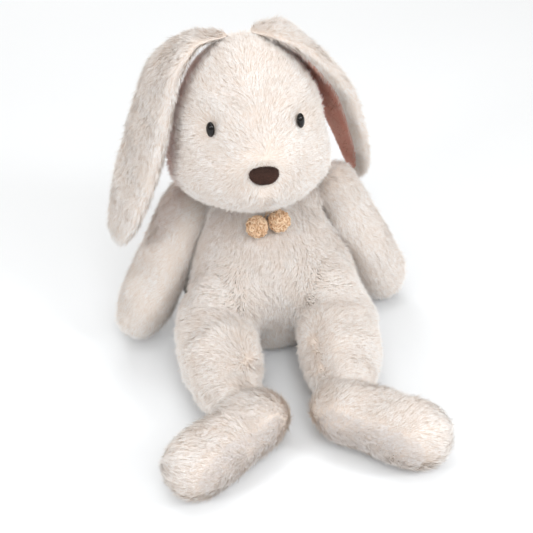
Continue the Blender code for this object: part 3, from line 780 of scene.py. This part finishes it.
nose = paint(closed_form("nose_button", nose_form, 48, 32), nose_finish, "nose")
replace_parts(nose, "nose")
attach(nose, "head")
nose_ground = Ground(nose, (0.0, -0.2, -1.0), 0.0011)
coat("head", "nose", "nose_fuzz", nose_ground, nose_ground.faces, NOSE_COAT, density=4, width=0.00016,
     lean=(0.3, 0.8), seed=110, spacing=0.001)
for side in SIDES:
    out = nose_turn @ Vector((EYE_OUT.x * SIGN[side], EYE_OUT.y, EYE_OUT.z))
    turn = (Matrix.Translation(eye_places[side] - out * EYE_SINK + EYE_SHIFT)
            @ out.to_track_quat("Z", "Y").to_matrix().to_4x4())
    eye = closed_form(f"eye_{side}_button", lambda points: place(points * np.array(EYE_HALF), turn), 48, 32)
    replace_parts(paint(eye, eye_finish, "eye"), f"eye_{side}")
    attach(eye, "head")

# Ears
for side in SIDES:
    body = f"ear_{side}"
    hides[body] = closed_form(f"{body}_hide", ear_form(side, EAR_TRIM), 64, 96)
    share, turn = split_globe(globe(64, 96)[0])
    ear_ground = Ground(hides[body], ear_axes(side, share)[1], HAIR)
    across = SIGN[side] * LINING_SHIFT
    lined = (turn[:, 1] < -0.05) & (np.abs(turn[:, 0] - across) < LINING_WIDTH) & (share > 0.13) & (share < 0.93)
    furred = ~lined[ear_ground.faces].all(axis=1)
    coat(body, "fur", f"{body}_coat", ear_ground, ear_ground.faces[furred], COAT, seed=120 + SIGN[side])
    lining = closed_form(f"{body}_lining_cloth",
                         lining_form(side, LINING_START, LINING_END, LINING_WIDTH, 0.0020, -0.0012, across), 48, 72)
    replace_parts(paint(lining, lining_finish, "lining"), f"{body}_lining")
    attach(lining, body)
    share, turn = split_globe(globe(48, 72)[0])
    pile_ground = Ground(lining, ear_axes(side, LINING_START + (LINING_END - LINING_START) * share)[1], 0.0024)
    pile = turn[:, 1] < 0.05
    coat(body, "lining", f"{body}_lining_pile", pile_ground, pile_ground.faces[pile[pile_ground.faces].all(axis=1)],
         LINING_COAT, density=1.3, width=0.0003, lean=(0.6, 1.1), seed=130 + SIGN[side], spacing=0.0015)

# Tail
hides["tail"] = closed_form("tail_hide", ball_form(TAIL, [TAIL_RADIUS - 0.005] * 3), 40, 30)
tail_ground = Ground(hides["tail"], (0.0, 0.5, -0.6), 0.0075)
coat("torso", "fur", "tail_coat", tail_ground, tail_ground.faces, COAT, lean=(0.25, 0.75), seed=140, spacing=0.003)

STANDS_FOR = {"tail": ["tail_pompom"], "ear_left": ["ear_left_back"], "ear_right": ["ear_right_back"]}
for body, hide in hides.items():
    nodes = STANDS_FOR.get(body, [f"{body}_skin", f"{body}_stuffing"])
    # The head's hide takes the darker copy, which is painted shade.
    paint(hide, face_finish_painted_shade if body == "head" else hide_finish, "fur")
    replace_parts(hide, *nodes, *([f"{body}_sole"] if body.startswith("foot") else []))
    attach(hide, "torso" if body == "tail" else body)

# Pompoms of looped yarn
for side in SIDES:
    body = f"pompom_{side}"
    middle = POMPOMS[side]
    core = closed_form(f"{body}_core", ball_form(middle, [POMPOM_RADIUS - 0.0016] * 3), 32, 24)
    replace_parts(paint(core, pompom_finish, "pompom"), body)
    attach(core, body)
    yarn = loops(f"{body}_loops", middle, POMPOM_RADIUS - 0.0018, count=330, ring=0.0014, wire=0.00042,
                 seed=SIGN[side])
    coats.append((yarn, body, "pompom"))
for obj, body, slot in coats:
    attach(obj, body)

CARRIED = {"washer": (washer_finish, "washer"), "thread": (thread_finish, "thread"), "knot": (thread_finish, "thread"),
           "stuffing": (stuffing_finish, "stuffing")}
for name, node in frame["nodes"].items():
    finish = CARRIED.get(name.split("_")[-1])
    if finish and not node.hide_render:
        paint(node, *finish)

# Stage, camera and light
floor = mesh_object("floor", [(-3, -3, 0), (3, -3, 0), (3, 3, 0), (-3, 3, 0)], [(0, 1, 2, 3)])
paint(floor, textured("floor_paper", (0.91, 0.935, 0.96), (0.92, 0.945, 0.97), 3, 0.0))

CAMERA_TARGET = Vector((-0.0046, -0.0383, 0.0728))
CAMERA_ELEVATION = math.radians(32)
CAMERA_DISTANCE = 0.900
CAMERA_ROLL = math.radians(-5)
camera = bpy.data.objects.new("camera", bpy.data.cameras.new("camera"))
bpy.context.scene.collection.objects.link(camera)
bpy.context.scene.camera = camera
camera.data.lens = 81.05
camera.data.sensor_width = 36
camera.data.clip_start = 0.01
back = Vector((0, -math.cos(CAMERA_ELEVATION), math.sin(CAMERA_ELEVATION)))
upright = back.to_track_quat("Z", "Y").to_matrix().to_4x4()
camera.matrix_world = (Matrix.Translation(CAMERA_TARGET + back * CAMERA_DISTANCE) @ upright
                       @ Matrix.Rotation(CAMERA_ROLL, 4, "Z"))

LAMP_COLOUR = (0.97, 0.985, 1)
LAMPS = {  # place, size, watts
    "key": ((0.45, -1.25, 1.10), 0.6, 4),
    "left": ((-0.95, -0.95, 0.75), 0.3, 4.5),
    "right": ((1.0, -0.75, 0.75), 0.3, 6),
    "top": ((0.0, -0.1, 1.8), 1.2, 7),
    "back": ((-0.3, 1.5, 1.2), 0.9, 8),
    "front": ((0.10, -1.20, 1.25), 0.5, 4.5),
}
for name, (spot, size, power) in LAMPS.items():
    data = bpy.data.lights.new(name, "AREA")
    data.size, data.energy, data.color = size, power, LAMP_COLOUR
    lamp = bpy.data.objects.new(name, data)
    lamp.location = spot
    lamp.rotation_euler = (Vector((0, 0, 0.08)) - Vector(spot)).to_track_quat("-Z", "Y").to_euler()
    bpy.context.scene.collection.objects.link(lamp)
world = bpy.data.worlds.new("studio")
world.use_nodes = True
world.node_tree.nodes["Background"].inputs["Color"].default_value = (1, 0.95, 0.89, 1)
world.node_tree.nodes["Background"].inputs["Strength"].default_value = 0.50
bpy.context.scene.world = world
bpy.context.scene.view_settings.view_transform = "Standard"
